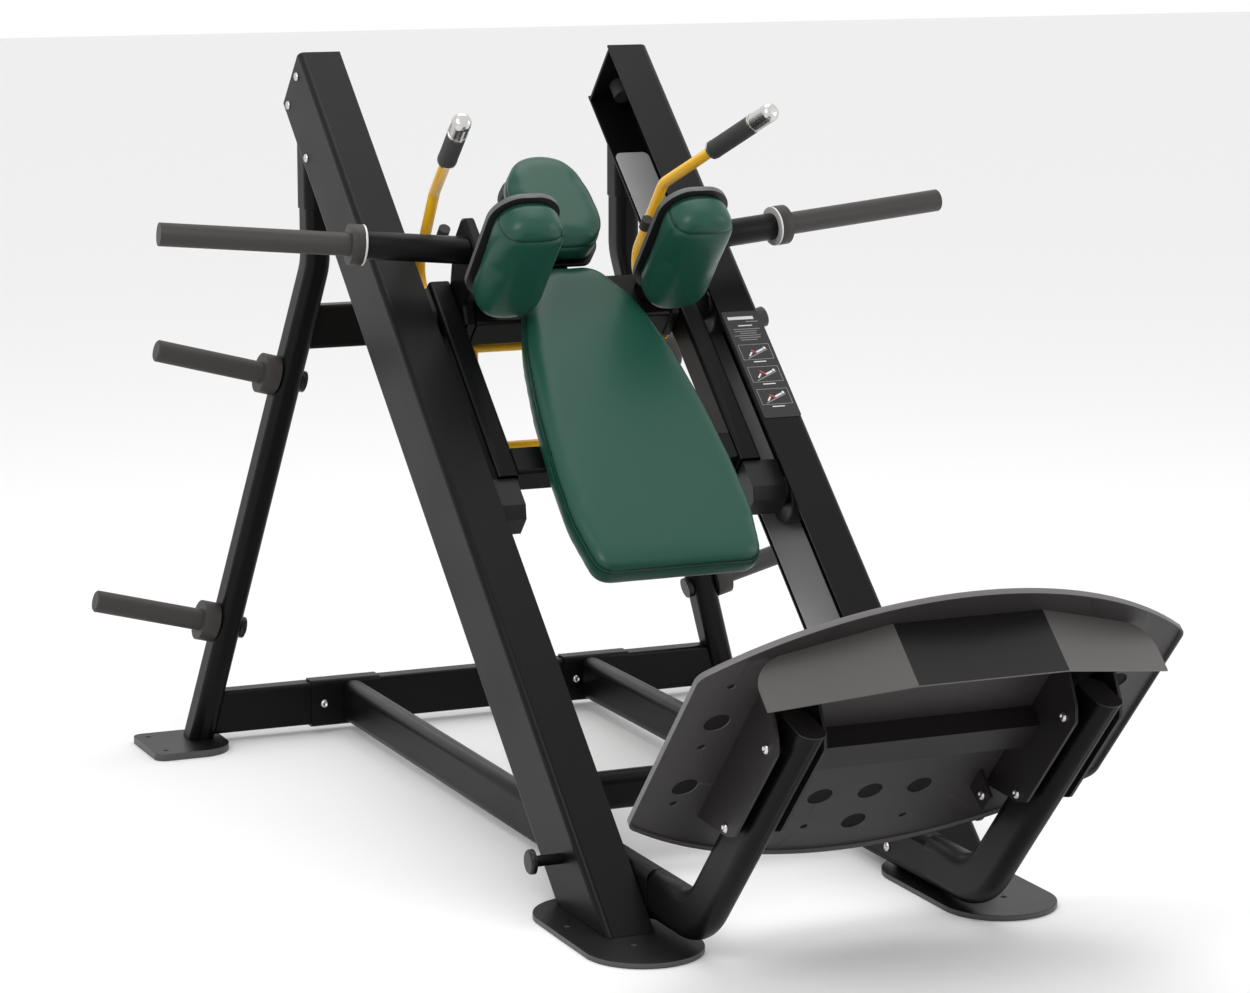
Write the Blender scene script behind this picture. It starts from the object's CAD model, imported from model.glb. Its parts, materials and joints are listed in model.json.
import bpy
import bmesh
import json
import math
from mathutils import Matrix, Vector


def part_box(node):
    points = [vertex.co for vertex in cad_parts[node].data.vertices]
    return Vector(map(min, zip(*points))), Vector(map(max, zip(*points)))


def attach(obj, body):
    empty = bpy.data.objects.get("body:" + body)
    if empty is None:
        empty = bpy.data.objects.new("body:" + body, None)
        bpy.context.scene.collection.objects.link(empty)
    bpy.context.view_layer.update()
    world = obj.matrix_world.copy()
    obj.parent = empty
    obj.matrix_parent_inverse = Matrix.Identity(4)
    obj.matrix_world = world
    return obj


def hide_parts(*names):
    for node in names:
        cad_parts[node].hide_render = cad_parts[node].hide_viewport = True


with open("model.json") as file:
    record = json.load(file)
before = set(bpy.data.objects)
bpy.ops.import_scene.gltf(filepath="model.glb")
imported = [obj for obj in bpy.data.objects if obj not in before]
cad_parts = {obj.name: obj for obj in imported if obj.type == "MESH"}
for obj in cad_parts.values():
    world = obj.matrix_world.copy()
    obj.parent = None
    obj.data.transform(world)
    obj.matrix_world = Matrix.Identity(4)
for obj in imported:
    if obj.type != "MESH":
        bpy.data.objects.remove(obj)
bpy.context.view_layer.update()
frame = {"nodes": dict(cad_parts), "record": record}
nodes = frame["nodes"]
print("frame loaded")

# ---- Where the rails stand: x to the right, s up the rails, o behind their front plane ----
lean = math.radians(42)
sideways = Vector((1, 0, 0))
upRail = Vector((0, math.cos(lean), math.sin(lean)))
rearward = Vector((0, math.sin(lean), -math.cos(lean)))
joints = frame["record"]["behaviour"]["joints"]
slideJoint = next(joint for joint in joints if joint["name"] == "carriage_slide")
jointAlong, jointBehind = 1.4, 0.06  # where the slide joint's own place lies
railFoot = Vector(slideJoint["pos_m"]) - upRail * jointAlong - rearward * jointBehind


def railPoint(x, s, o):
    return railFoot + sideways * x + upRail * s + rearward * o


def placeAt(origin, xAxis, yAxis):
    zAxis = xAxis.cross(yAxis)
    place = Matrix((xAxis, yAxis, zAxis)).transposed().to_4x4()
    place.translation = origin
    return place


# ---- Shared shader groups ----
def wire(tree, source, target):
    tree.links.new(source, target)


def groupSockets(group, ins, outs):
    for name, kind, value in ins:
        socket = group.interface.new_socket(name, in_out="INPUT", socket_type=kind)
        if value is not None:
            socket.default_value = value
    for name, kind in outs:
        group.interface.new_socket(name, in_out="OUTPUT", socket_type=kind)


def makeCoatGrain():  # fine pimpled coat with slow tone and gloss drift
    group = bpy.data.node_groups.new("coatGrain", "ShaderNodeTree")
    ins = [("Color", "NodeSocketColor", (0.5, 0.5, 0.5, 1)), ("Scale", "NodeSocketFloat", 700.0),
           ("Bump", "NodeSocketFloat", 0.1), ("Drift", "NodeSocketFloat", 0.1),
           ("Roughness", "NodeSocketFloat", 0.5)]
    outs = [("Color", "NodeSocketColor"), ("Roughness", "NodeSocketFloat"), ("Normal", "NodeSocketVector")]
    groupSockets(group, ins, outs)
    add = group.nodes.new
    inner, outer = add("NodeGroupInput"), add("NodeGroupOutput")
    place = add("ShaderNodeTexCoord")
    fine, slow = add("ShaderNodeTexNoise"), add("ShaderNodeTexNoise")
    fine.inputs["Detail"].default_value = 3
    slow.inputs["Scale"].default_value = 5
    slow.inputs["Detail"].default_value = 4
    for texture in (fine, slow):
        wire(group, place.outputs["Object"], texture.inputs["Vector"])
    wire(group, inner.outputs["Scale"], fine.inputs["Scale"])
    bump = add("ShaderNodeBump")
    bump.inputs["Distance"].default_value = 0.0006
    wire(group, fine.outputs["Fac"], bump.inputs["Height"])
    wire(group, inner.outputs["Bump"], bump.inputs["Strength"])
    wire(group, bump.outputs["Normal"], outer.inputs["Normal"])
    centred = add("ShaderNodeMath")
    centred.operation = "SUBTRACT"
    centred.inputs[1].default_value = 0.5
    wire(group, slow.outputs["Fac"], centred.inputs[0])
    drift = add("ShaderNodeMath")
    drift.operation = "MULTIPLY"
    wire(group, centred.outputs[0], drift.inputs[0])
    wire(group, inner.outputs["Drift"], drift.inputs[1])
    rough = add("ShaderNodeMath")
    rough.operation = "ADD"
    rough.use_clamp = True
    wire(group, drift.outputs[0], rough.inputs[0])
    wire(group, inner.outputs["Roughness"], rough.inputs[1])
    wire(group, rough.outputs[0], outer.inputs["Roughness"])
    gain = add("ShaderNodeMath")
    gain.operation = "ADD"
    gain.inputs[1].default_value = 1.0
    wire(group, drift.outputs[0], gain.inputs[0])
    tint = add("ShaderNodeVectorMath")
    tint.operation = "SCALE"
    wire(group, inner.outputs["Color"], tint.inputs[0])
    wire(group, gain.outputs[0], tint.inputs["Scale"])
    wire(group, tint.outputs[0], outer.inputs["Color"])
    return group


def makeCutRim():  # faces turned sideways take the rim colour, as the cut edges of plates do
    group = bpy.data.node_groups.new("cutRim", "ShaderNodeTree")
    ins = [("Face", "NodeSocketColor", (0.1, 0.1, 0.1, 1)), ("Rim", "NodeSocketColor", (0.2, 0.2, 0.2, 1)),
           ("Axis", "NodeSocketVector", (0, 0, 1))]
    groupSockets(group, ins, [("Color", "NodeSocketColor")])
    add = group.nodes.new
    inner, outer, geometry = add("NodeGroupInput"), add("NodeGroupOutput"), add("ShaderNodeNewGeometry")
    lie = add("ShaderNodeVectorMath")
    lie.operation = "DOT_PRODUCT"
    wire(group, geometry.outputs["Normal"], lie.inputs[0])
    wire(group, inner.outputs["Axis"], lie.inputs[1])
    size = add("ShaderNodeMath")
    size.operation = "ABSOLUTE"
    wire(group, lie.outputs["Value"], size.inputs[0])
    edge = add("ShaderNodeMath")
    edge.operation = "LESS_THAN"
    edge.inputs[1].default_value = 0.5
    wire(group, size.outputs[0], edge.inputs[0])
    blend = add("ShaderNodeMix")
    blend.data_type = "RGBA"
    wire(group, edge.outputs[0], blend.inputs["Factor"])
    wire(group, inner.outputs["Face"], blend.inputs[6])
    wire(group, inner.outputs["Rim"], blend.inputs[7])
    wire(group, blend.outputs[2], outer.inputs["Color"])
    return group


coatGrain = makeCoatGrain()
cutRim = makeCutRim()


def makeFinish(name, color, roughness, metal=0.0, grain=0.1, scale=700, drift=0.12, specular=0.5, coat=0.0,
               rim=None, rimAxis=(0, 0, 1), seam=None):
    material = bpy.data.materials.new(name)
    material.use_nodes = True
    tree = material.node_tree
    shader = tree.nodes["Principled BSDF"]
    shader.inputs["Metallic"].default_value = metal
    shader.inputs["Specular IOR Level"].default_value = specular
    shader.inputs["Coat Weight"].default_value = coat
    shader.inputs["Coat Roughness"].default_value = 0.25
    grainNode = tree.nodes.new("ShaderNodeGroup")
    grainNode.node_tree = coatGrain
    for socket, value in (("Color", (*color, 1)), ("Scale", scale), ("Bump", grain), ("Drift", drift),
                          ("Roughness", roughness)):
        grainNode.inputs[socket].default_value = value
    if rim:
        rimNode = tree.nodes.new("ShaderNodeGroup")
        rimNode.node_tree = cutRim
        rimNode.inputs["Face"].default_value = (*color, 1)
        rimNode.inputs["Rim"].default_value = (*rim, 1)
        rimNode.inputs["Axis"].default_value = rimAxis
        wire(tree, rimNode.outputs["Color"], grainNode.inputs["Color"])
    if seam:  # darker in the sewn channels
        mark = tree.nodes.new("ShaderNodeAttribute")
        mark.attribute_name = "seam"
        blend = tree.nodes.new("ShaderNodeMix")
        blend.data_type = "RGBA"
        blend.inputs[6].default_value = (*color, 1)
        blend.inputs[7].default_value = (*seam, 1)
        wire(tree, mark.outputs["Fac"], blend.inputs["Factor"])
        wire(tree, blend.outputs[2], grainNode.inputs["Color"])
    wire(tree, grainNode.outputs["Color"], shader.inputs["Base Color"])
    wire(tree, grainNode.outputs["Roughness"], shader.inputs["Roughness"])
    wire(tree, grainNode.outputs["Normal"], shader.inputs["Normal"])
    return material


finishes = {
    "frameBlack": makeFinish("frameBlack", (0.003, 0.003, 0.0032), 0.38, grain=0.16, scale=900,
                             specular=0.13),
    "floorPlate": makeFinish("floorPlate", (0.004, 0.004, 0.0043), 0.4, grain=0.16, specular=0.2,
                             rim=(0.07, 0.07, 0.073)),
    "hoodGrey": makeFinish("hoodGrey", (0.008, 0.0078, 0.0078), 0.34, grain=0.2, scale=900, specular=0.3,
                           rim=(0.085, 0.08, 0.078), rimAxis=(0, 0.343, -0.381)),
    "plateGrey": makeFinish("plateGrey", (0.022, 0.019, 0.019), 0.5, grain=0.3, scale=1100,
                            rim=(0.11, 0.105, 0.108), rimAxis=upRail),
    "bracketGrey": makeFinish("bracketGrey", (0.014, 0.012, 0.012), 0.42, grain=0.25, scale=900,
                              specular=0.3),
    "carrierGrey": makeFinish("carrierGrey", (0.012, 0.012, 0.012), 0.42, grain=0.2, scale=900,
                              specular=0.25),
    "tread": makeFinish("tread", (0.007, 0.006, 0.006), 0.75, grain=0.7, scale=260, drift=0.2, specular=0.15),
    "pegGrey": makeFinish("pegGrey", (0.034, 0.029, 0.029), 0.5, grain=0.3, scale=800, specular=0.3),
    "stripSteel": makeFinish("stripSteel", (0.58, 0.58, 0.58), 0.36, metal=0.35, grain=0.1, scale=500),
    "capBlack": makeFinish("capBlack", (0.006, 0.006, 0.006), 0.35, grain=0.1, specular=0.3),
    "wheelBlack": makeFinish("wheelBlack", (0.015, 0.015, 0.016), 0.4, grain=0.1),
    "rubber": makeFinish("rubber", (0.014, 0.014, 0.015), 0.7, grain=0.4, scale=600),
    "gripRubber": makeFinish("gripRubber", (0.03, 0.028, 0.029), 0.72, grain=1.0, scale=420, drift=0.25),
    "boardTrim": makeFinish("boardTrim", (0.012, 0.012, 0.012), 0.45, grain=0.15, rim=(0.09, 0.09, 0.093),
                            rimAxis=upRail),
    "yellowPaint": makeFinish("yellowPaint", (0.86, 0.46, 0.012), 0.3, grain=0.05, drift=0.05, coat=0.3),
    "chrome": makeFinish("chrome", (0.60, 0.59, 0.58), 0.25, metal=1.0, grain=0.04, drift=0.1),
    "greenVinyl": makeFinish("greenVinyl", (0.009, 0.058, 0.038), 0.34, grain=0.22, scale=420, drift=0.08,
                             specular=0.3, seam=(0.003, 0.014, 0.010)),
    "placardBlack": makeFinish("placardBlack", (0.006, 0.006, 0.006), 0.25, grain=0.0, drift=0.05),
    "placardWhite": makeFinish("placardWhite", (0.62, 0.62, 0.62), 0.3, grain=0.0, drift=0.05),
    "placardGrey": makeFinish("placardGrey", (0.22, 0.22, 0.23), 0.3, grain=0.0, drift=0.05),
    "placardRed": makeFinish("placardRed", (0.45, 0.04, 0.03), 0.3, grain=0.0, drift=0.05),
}

finishOf = {
    "floorPlate": ["left_front_foot", "right_front_foot", "left_rear_foot", "right_rear_foot"],
    "hoodGrey": ["hood"],
    "plateGrey": ["foot_plate"],
    "bracketGrey": ["plate_brackets", "plate_cross_tube", "arm_caps"],
    "carrierGrey": ["roller_carriers"],
    "tread": ["tread_mat"],
    "pegGrey": ["left_upper_storage_peg", "right_upper_storage_peg", "left_lower_storage_peg",
                "right_lower_storage_peg", "left_load_arm", "right_load_arm"],
    "stripSteel": ["wear_strips", "load_washers"],
    "capBlack": ["peg_caps", "band_pegs"],
    "wheelBlack": ["left_lower_roller", "right_lower_roller", "left_upper_roller", "right_upper_roller"],
    "rubber": ["bumpers", "stop_knobs"],
    "gripRubber": ["grips"],
    "boardTrim": ["shoulder_boards"],
    "yellowPaint": ["lever_frame"],
    "chrome": ["lever_caps"],
}
finishByNode = {node: finish for finish, group in finishOf.items() for node in group}

# These have no cut edges to soften
plainEdges = ("lever_frame", "lever_caps", "grips", "tread_mat", "frame_bolts", "carriage_bolts")
for name, piece in nodes.items():
    piece.data.materials.clear()
    piece.data.materials.append(finishes[finishByNode.get(name, "frameBlack")])
    if name in plainEdges or name.endswith("_pad"):
        continue
    weld = piece.modifiers.new("joinFaces", "WELD")
    weld.merge_threshold = 0.00002
    soften = piece.modifiers.new("softEdges", "BEVEL")
    soften.width = 0.0012
    soften.segments = 2
    soften.limit_method = "ANGLE"
    soften.angle_limit = math.radians(40)
    soften.harden_normals = True
print("metal parts finished")


def newPiece(name, mesh, body, materials):
    piece = bpy.data.objects.new(name, mesh)
    bpy.context.scene.collection.objects.link(piece)
    for material in materials:
        mesh.materials.append(finishes[material])
    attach(piece, body)
    return piece


def meshFrom(bm, name, place=None, smooth=True):
    if place is not None:
        bmesh.ops.transform(bm, matrix=place, verts=bm.verts)
    bmesh.ops.recalc_face_normals(bm, faces=bm.faces)
    mesh = bpy.data.meshes.new(name)
    bm.to_mesh(mesh)
    bm.free()
    for polygon in mesh.polygons:
        polygon.use_smooth = smooth
    return mesh


# ---- Pads ----
def padForm(outline, rounding, depth, frontRound, backRound):  # a soft-edged slab from its outline
    bm = bmesh.new()
    corners = [bm.verts.new((x, y, 0)) for x, y in outline]
    bm.faces.new(corners)
    bmesh.ops.bevel(bm, geom=corners, offset=rounding, segments=5, profile=0.5, affect="VERTICES",
                    material=-1)
    grown = bmesh.ops.extrude_face_region(bm, geom=list(bm.faces))
    top = [item for item in grown["geom"] if isinstance(item, bmesh.types.BMVert)]
    bmesh.ops.translate(bm, verts=top, vec=(0, 0, depth))
    bmesh.ops.recalc_face_normals(bm, faces=bm.faces)
    for height, rounded in ((depth, frontRound), (0, backRound)):
        rim = [edge for edge in bm.edges if all(abs(v.co.z - height) < 1e-5 for v in edge.verts)]
        bmesh.ops.bevel(bm, geom=rim, offset=rounded, segments=4, profile=0.5, affect="EDGES", material=-1)
    return bm


def swell(piece, pad):  # the stuffing pushes the cover out, held back by the board behind it
    remesh = piece.modifiers.new("evenCover", "REMESH")
    remesh.mode = "VOXEL"
    remesh.voxel_size = pad["voxel"]
    remesh.use_smooth_shade = True
    applyModifiers(piece)
    start = [vertex.co.copy() for vertex in piece.data.vertices]
    cloth = piece.modifiers.new("stuffing", "CLOTH")
    cloth.settings.quality = 4
    cloth.settings.use_pressure = True
    cloth.settings.uniform_pressure_force = pad["pressure"]
    cloth.settings.effector_weights.gravity = 0
    cloth.settings.tension_stiffness = 12
    cloth.settings.compression_stiffness = 12
    cloth.settings.bending_stiffness = 4.0
    cloth.collision_settings.use_collision = False
    cloth.point_cache.frame_end = 20
    for step in range(1, 21):
        bpy.context.scene.frame_set(step)
    applyModifiers(piece)
    bpy.context.scene.frame_set(1)
    for vertex, old in zip(piece.data.vertices, start):
        move = vertex.co - old
        if move.length > pad["swell"]:
            vertex.co = old + move.normalized() * pad["swell"]
        vertex.co.z = max(vertex.co.z, 0)


def applyModifiers(piece):
    graph = bpy.context.evaluated_depsgraph_get()
    baked = bpy.data.meshes.new_from_object(piece.evaluated_get(graph))
    piece.modifiers.clear()
    piece.data = baked


channelWidth = 0.0045
threadWidth = 0.0012


def sewSeams(piece, seams):  # each seam is an axis, where it crosses it, and how deep it pulls
    mesh = piece.data
    bm = bmesh.new()
    bm.from_mesh(mesh)
    for turn in range(14):
        bmesh.ops.smooth_vert(bm, verts=bm.verts, factor=0.5, use_axis_x=True, use_axis_y=True,
                              use_axis_z=True)
    for axis, where, depth in seams:
        flat = [0, 0, 0]
        flat[axis] = 1
        for shift in (-0.0022, -0.0009, 0.0009, 0.0022):
            point = [value * (where + shift) for value in flat]
            whole = bm.verts[:] + bm.edges[:] + bm.faces[:]
            bmesh.ops.bisect_plane(bm, geom=whole, plane_co=point, plane_no=flat)
    bm.normal_update()
    layer = bm.verts.layers.float.new("seam")
    for vertex in bm.verts:
        pull = 0
        for axis, where, depth in seams:
            if abs(vertex.normal[axis]) > 0.75:
                continue
            away = abs(vertex.co[axis] - where)
            vertex[layer] = max(vertex[layer], 1.0 if away < threadWidth else 0.0)
            pull = max(pull, depth * math.exp(-(away / channelWidth) ** 2))
        vertex.co -= vertex.normal * pull
    bm.to_mesh(mesh)
    bm.free()


def makePad(name, node, pad, place):
    bm = padForm(pad["outline"], pad["rounding"], pad["depth"], pad["front"], pad["back"])
    mesh = meshFrom(bm, name)
    piece = newPiece(name, mesh, "carriage", ["greenVinyl"])
    swell(piece, pad)
    sewSeams(piece, pad["seams"])
    piece.data.transform(place)
    for polygon in piece.data.polygons:
        polygon.use_smooth = True
    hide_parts(node)
    print("pad", name, len(piece.data.polygons))
    return piece


def bothSides(half):  # an outline's right half, bottom to top, with its mirror
    return half + [(-x, y) for x, y in reversed(half)]


frontFace = placeAt(railPoint(0, 0, 0), sideways, upRail)  # its z runs to the front
backPad = {"outline": bothSides([(0.190, 0.843), (0.215, 0.985), (0.211, 1.130), (0.200, 1.280),
                                 (0.177, 1.440), (0.139, 1.580), (0.064, 1.685)]),
           "rounding": 0.034, "depth": 0.062, "front": 0.020, "back": 0.006, "voxel": 0.006, "pressure": 4.0,
           "swell": 0.007, "seams": [(2, 0.040, 0.0016), (2, 0.048, 0.0012)], "backAt": -0.0215}
makePad("backCushion", "back_pad", backPad, frontFace @ Matrix.Translation((0, 0, backPad["backAt"])))

headPad = {"outline": bothSides([(0.060, 1.702), (0.094, 1.750), (0.099, 1.790), (0.095, 1.860),
                                 (0.083, 1.912), (0.058, 1.948), (0.022, 1.963)]),
           "rounding": 0.014, "depth": 0.080, "front": 0.020, "back": 0.006, "voxel": 0.005, "pressure": 4.0,
           "swell": 0.004, "seams": [(2, 0.054, 0.0018)], "backAt": 0.0125}
makePad("headCushion", "head_pad", headPad, frontFace @ Matrix.Translation((0, 0, headPad["backAt"])))

shoulderPad = {"outline": [(-0.075, -0.151), (0.075, -0.151), (0.075, 0.151), (-0.075, 0.151)],
               "rounding": 0.060, "depth": 0.083, "front": 0.034, "back": 0.004, "voxel": 0.005,
               "pressure": 4.5, "swell": 0.006, "seams": [(1, -0.112, 0.0018), (2, 0.010, 0.0014)],
               "centre": (0.196, 1.598, -0.192)}
for sign, label in ((-1, "left"), (1, "right")):
    # the pad's cover faces down the rails and its long side runs rearwards
    padX, padAlong, padBehind = shoulderPad["centre"]
    place = placeAt(railPoint(sign * padX, padAlong, padBehind), -sideways, rearward)
    makePad(label + "ShoulderCushion", label + "_shoulder_pad", shoulderPad, place)


# ---- Black shell behind the head pad ----
shell = {"outline": bothSides([(0.064, 1.699), (0.100, 1.750), (0.103, 1.790), (0.100, 1.862), (0.088, 1.916),
                               (0.061, 1.953), (0.023, 1.968)]),
         "rounding": 0.014, "depth": 0.009, "edge": 0.002, "backAt": 0.0032}


def makeShell():
    bm = padForm(shell["outline"], shell["rounding"], shell["depth"], shell["edge"], shell["edge"])
    place = frontFace @ Matrix.Translation((0, 0, shell["backAt"]))
    mesh = meshFrom(bm, "headShell", place, smooth=False)
    newPiece("headShell", mesh, "carriage", ["capBlack"])


makeShell()
print("pads done")


# ---- Socket screws ----
def screwHead(bm, place):
    profile = [(0, 0), (0.0100, 0), (0.0100, 0.0014), (0.0085, 0.0042), (0.0056, 0.0058), (0.0047, 0.0058),
               (0.0044, 0.0030), (0, 0.0030)]
    points = [bm.verts.new((x, 0, z)) for x, z in profile]
    edges = [bm.edges.new(pair) for pair in zip(points, points[1:])]
    bmesh.ops.spin(bm, geom=points + edges, cent=(0, 0, 0), axis=(0, 0, 1), angle=2 * math.pi, steps=20,
                   use_merge=True)
    shown = {vertex for face in bm.faces if not face.tag for vertex in face.verts}
    bmesh.ops.transform(bm, matrix=place, verts=list(shown))
    for face in bm.faces:
        face.tag = True


def facingPlace(origin, normal):
    helper = upRail if abs(normal.dot(upRail)) < 0.9 else sideways
    xAxis = helper.cross(normal).normalized()
    return placeAt(origin, xAxis, normal.cross(xAxis))


def makeScrews(name, node, body, spots):
    bm = bmesh.new()
    for origin, normal in spots:
        screwHead(bm, facingPlace(origin, normal.normalized()))
    bmesh.ops.remove_doubles(bm, verts=bm.verts, dist=0.00001)
    piece = newPiece(name, meshFrom(bm, name), body, ["chrome"])
    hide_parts(node)


# Distances from the middle of the machine to each screwed face, and each screw's place on it
screwed = {"uprightFace": 0.430, "upright": ((2.350, 0.048), (2.350, 0.140), (2.185, 0.140)),
           "wrapX": (0.374, 0.266), "wrapZ": 0.072,
           "baseFace": 0.278, "baseY": 0.220, "baseZ": 0.060,
           "bracketFaces": (0.351, 0.252), "bracketAlong": -0.048, "bracketBehind": (-0.461, -0.710),
           "tabFace": 0.222, "tab": (-0.002, -0.395)}
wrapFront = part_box("wrap_brackets")[0][1]
frameSpots = []
for sign in (-1, 1):
    outward = Vector((sign, 0, 0))
    for along, behind in screwed["upright"]:
        frameSpots.append((railPoint(sign * screwed["uprightFace"], along, behind), outward))
    for x in screwed["wrapX"]:
        frameSpots.append((Vector((sign * x, wrapFront, screwed["wrapZ"])), Vector((0, -1, 0))))
    basePlace = Vector((sign * screwed["baseFace"], railFoot.y + screwed["baseY"], screwed["baseZ"]))
    frameSpots.append((basePlace, -outward))
    outerFace, innerFace = screwed["bracketFaces"]
    for behind in screwed["bracketBehind"]:
        frameSpots.append((railPoint(sign * outerFace, screwed["bracketAlong"], behind), outward))
        frameSpots.append((railPoint(sign * innerFace, screwed["bracketAlong"], behind), -outward))
    frameSpots.append((railPoint(sign * screwed["tabFace"], *screwed["tab"]), -outward))
makeScrews("frameScrews", "frame_bolts", "frame", frameSpots)

armTilt = math.radians(7.3)
armRoot = (0.2552, 1.675, -0.103)
armScrew = {"reach": 0.115, "radius": 0.0298}
carriageSpots = []
for sign in (-1, 1):
    armOut = Vector((sign * math.cos(armTilt), 0, 0)) + upRail * math.sin(armTilt)
    screwOut = armOut.cross(Vector((0, 0, -sign))).normalized()
    root = railPoint(sign * armRoot[0], *armRoot[1:])
    carriageSpots.append((root + armOut * armScrew["reach"] + screwOut * armScrew["radius"], screwOut))
makeScrews("carriageScrews", "carriage_bolts", "carriage", carriageSpots)


# ---- Weld beads ----
def ringBead(bm, place, radius, bead):
    before = set(bm.verts)
    bmesh.ops.create_circle(bm, cap_ends=False, radius=bead, segments=8,
                            matrix=Matrix.Translation((radius, 0, 0)) @ Matrix.Rotation(math.pi / 2, 4, "X"))
    ring = [vertex for vertex in bm.verts if vertex not in before]
    edges = list({edge for vertex in ring for edge in vertex.link_edges})
    bmesh.ops.spin(bm, geom=ring + edges, cent=(0, 0, 0), axis=(0, 0, 1), angle=2 * math.pi, steps=40,
                   use_merge=True)
    made = [vertex for vertex in bm.verts if vertex not in before]
    bmesh.ops.transform(bm, matrix=place, verts=made)


pegWeld = {"radius": 0.0275, "bead": 0.003, "lift": 0.0004, "pegMiddle": 0.164}


def makePegWelds():
    bm = bmesh.new()
    for sign in (-1, 1):
        for level in ("upper", "lower"):
            label = "left" if sign < 0 else "right"
            spot = next(mount for mount in frame["record"]["mounts"]
                        if mount["name"] == f"{label}_{level}_storage_peg")
            axis = Vector(spot["axis"]).normalized()
            root = Vector(spot["pos_m"]) - axis * (pegWeld["pegMiddle"] - pegWeld["lift"])
            ringBead(bm, facingPlace(root, axis), pegWeld["radius"], pegWeld["bead"])
    bmesh.ops.remove_doubles(bm, verts=bm.verts, dist=0.00001)
    newPiece("pegWelds", meshFrom(bm, "pegWelds"), "frame", ["frameBlack"])


makePegWelds()


# ---- Instruction placard, with plain bars for its wording ----
placard = {"width": 0.090, "height": 0.305, "centre": (0.380, 1.3955)}


def slab(bm, x, y, width, height, level, material, turn=0.0):
    place = (Matrix.Translation((x, y, level)) @ Matrix.Rotation(turn, 4, "Z")
             @ Matrix.Diagonal((width, height, 0.0003, 1)))
    made = bmesh.ops.create_cube(bm, size=1, matrix=place)
    for face in {face for vertex in made["verts"] for face in vertex.link_faces}:
        face.material_index = material


def sitter(bm, x, y, level, bend):  # a plain figure lying back on a rail
    slab(bm, x, y - 0.006, 0.058, 0.0022, level, 2, 0.42)
    slab(bm, x + 0.008, y + 0.003, 0.020, 0.0045, level, 1, 0.42)
    slab(bm, x - 0.007, y + 0.001 + bend, 0.014, 0.0036, level, 3, -0.7)
    slab(bm, x - 0.017, y - 0.006 + bend / 2, 0.014, 0.0036, level, 1, 0.9)
    head = bmesh.ops.create_circle(bm, cap_ends=True, radius=0.0034, segments=16,
                                   matrix=Matrix.Translation((x + 0.021, y + 0.0095, level + 0.0002)))
    for face in {face for vertex in head["verts"] for face in vertex.link_faces}:
        face.material_index = 1


def makePlacard():
    bm = bmesh.new()
    width, height = placard["width"], placard["height"]
    bmesh.ops.create_cube(bm, size=1, matrix=Matrix.Diagonal((width, height, 0.001, 1)))
    corners = [edge for edge in bm.edges if abs(edge.verts[0].co.z - edge.verts[1].co.z) > 0.0005]
    bmesh.ops.bevel(bm, geom=corners, offset=0.006, segments=4, profile=0.5, affect="EDGES", material=-1)
    top = 0.0007
    slab(bm, -0.004, height / 2 - 0.020, 0.062, 0.0085, top, 1)
    slab(bm, 0.020, height / 2 - 0.031, 0.030, 0.0022, top, 2)
    slab(bm, 0, height / 2 - 0.042, 0.034, 0.0028, top, 1)
    for row in range(6):
        shift = -0.004 if row % 2 else 0
        slab(bm, shift, height / 2 - 0.052 - row * 0.0062, 0.064 - 0.012 * (row % 3), 0.0018, top, 2)
    for panel in range(3):
        y = 0.034 - panel * 0.064
        slab(bm, 0, y, 0.074, 0.044, top, 2)
        slab(bm, 0, y, 0.0715, 0.0415, top + 0.0001, 0)
        sitter(bm, 0.002, y, top + 0.0004, 0.004 * (panel % 2))
        slab(bm, 0, y - 0.028, 0.030, 0.0026, top, 1)
    place = placeAt(railPoint(placard["centre"][0], placard["centre"][1], -0.0006), sideways, upRail)
    mesh = meshFrom(bm, "instructionPlacard", place, smooth=False)
    newPiece("instructionPlacard", mesh, "frame",
             ["placardBlack", "placardWhite", "placardGrey", "placardRed"])


makePlacard()
print("small pieces done")


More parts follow.
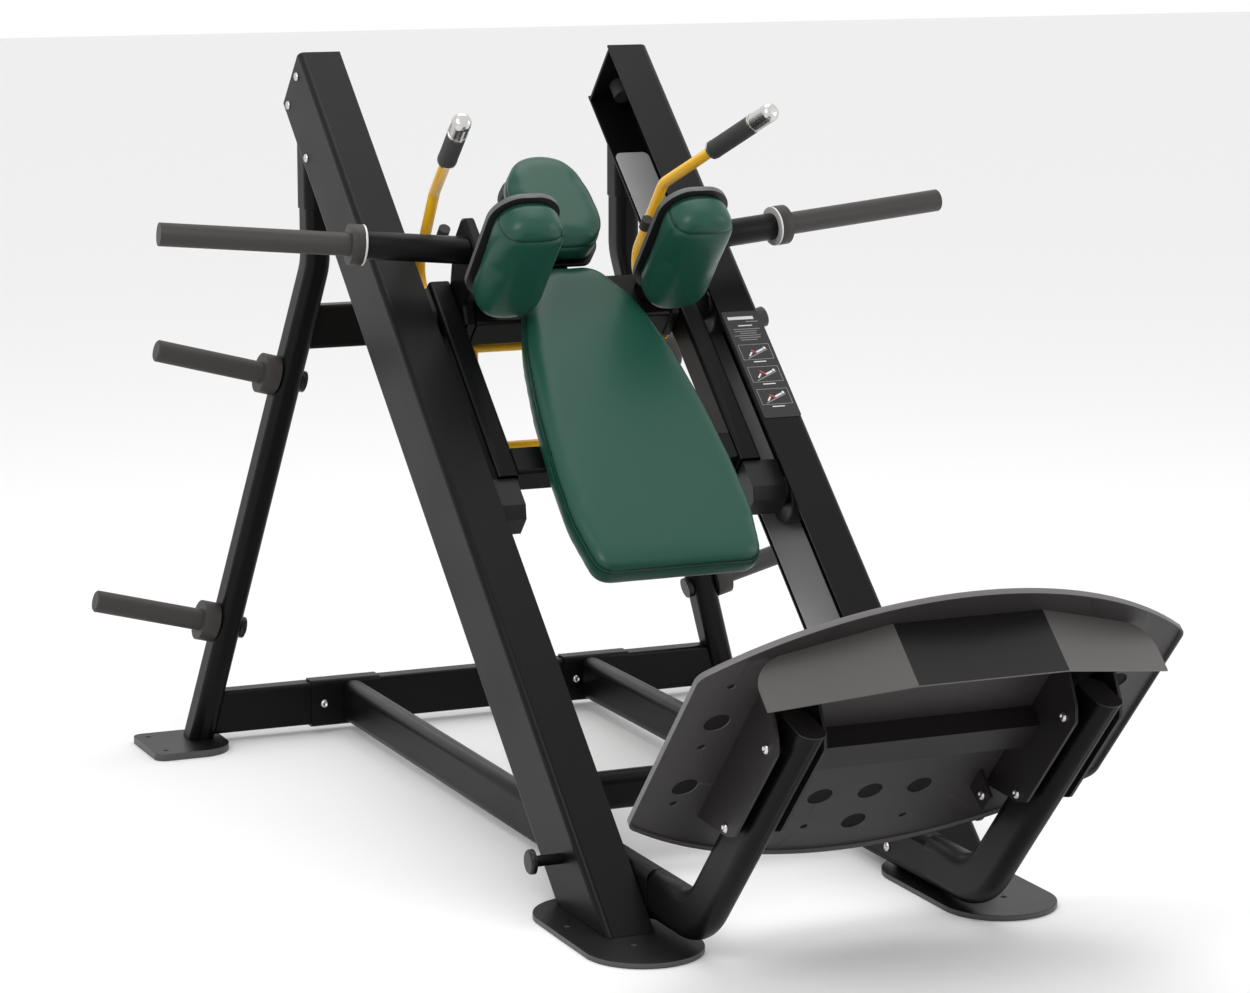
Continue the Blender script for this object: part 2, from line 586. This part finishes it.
# ---- Floor, light and camera ----
def makeStage():
    bm = bmesh.new()
    bmesh.ops.create_grid(bm, x_segments=1, y_segments=1, size=30)
    bmesh.ops.translate(bm, verts=bm.verts, vec=(0, 0, -0.0005))
    mesh = bpy.data.meshes.new("floor")
    bm.to_mesh(mesh)
    bm.free()
    floor = bpy.data.objects.new("floor", mesh)
    bpy.context.scene.collection.objects.link(floor)
    material = bpy.data.materials.new("paleFloor")
    material.use_nodes = True
    shader = material.node_tree.nodes["Principled BSDF"]
    shader.inputs["Base Color"].default_value = (0.86, 0.86, 0.86, 1)
    shader.inputs["Roughness"].default_value = 0.9
    shader.inputs["Specular IOR Level"].default_value = 0.1
    mesh.materials.append(material)


def makeLamp(name, spot, target, size, power):
    data = bpy.data.lights.new(name, "AREA")
    data.shape = "RECTANGLE"
    data.size, data.size_y = size
    data.energy = power
    lamp = bpy.data.objects.new(name, data)
    lamp.location = spot
    lamp.rotation_euler = (Vector(target) - Vector(spot)).to_track_quat("-Z", "Y").to_euler()
    bpy.context.scene.collection.objects.link(lamp)


view = {"turn": -24.034, "rise": 10.052, "roll": -0.1, "lens": 106.633, "shift": (-0.02068, -0.009672),
        "from": (-3.119, -6.212, 2.091)}  # degrees, millimetres of lens, metres from the rails' foot


def makeCamera():
    data = bpy.data.cameras.new("camera")
    data.sensor_width = 36
    data.lens = view["lens"]
    data.shift_x, data.shift_y = view["shift"]
    data.clip_end = 100
    camera = bpy.data.objects.new("camera", data)
    x, y, z = view["from"]
    camera.location = (x, railFoot.y + y, z)
    camera.rotation_euler = [math.radians(angle) for angle in (90 - view["rise"], view["roll"], view["turn"])]
    bpy.context.scene.collection.objects.link(camera)
    bpy.context.scene.camera = camera


makeStage()
makeLamp("keyLamp", (-3.5, -3.0, 4.5), (0, 0, 0.6), (2.0, 3.0), 110)
makeLamp("fillLamp", (4.5, -2.5, 2.5), (0, 0, 0.8), (2.0, 3.0), 40)
makeLamp("topLamp", (0.5, 1.5, 5.0), (0, 0, 0.8), (3.0, 3.0), 60)
world = bpy.data.worlds.new("studio")
world.use_nodes = True
world.node_tree.nodes["Background"].inputs["Color"].default_value = (1, 1, 1, 1)
world.node_tree.nodes["Background"].inputs["Strength"].default_value = 1.0
bpy.context.scene.view_settings.view_transform = "Standard"
bpy.context.scene.world = world
makeCamera()
print("stage done")
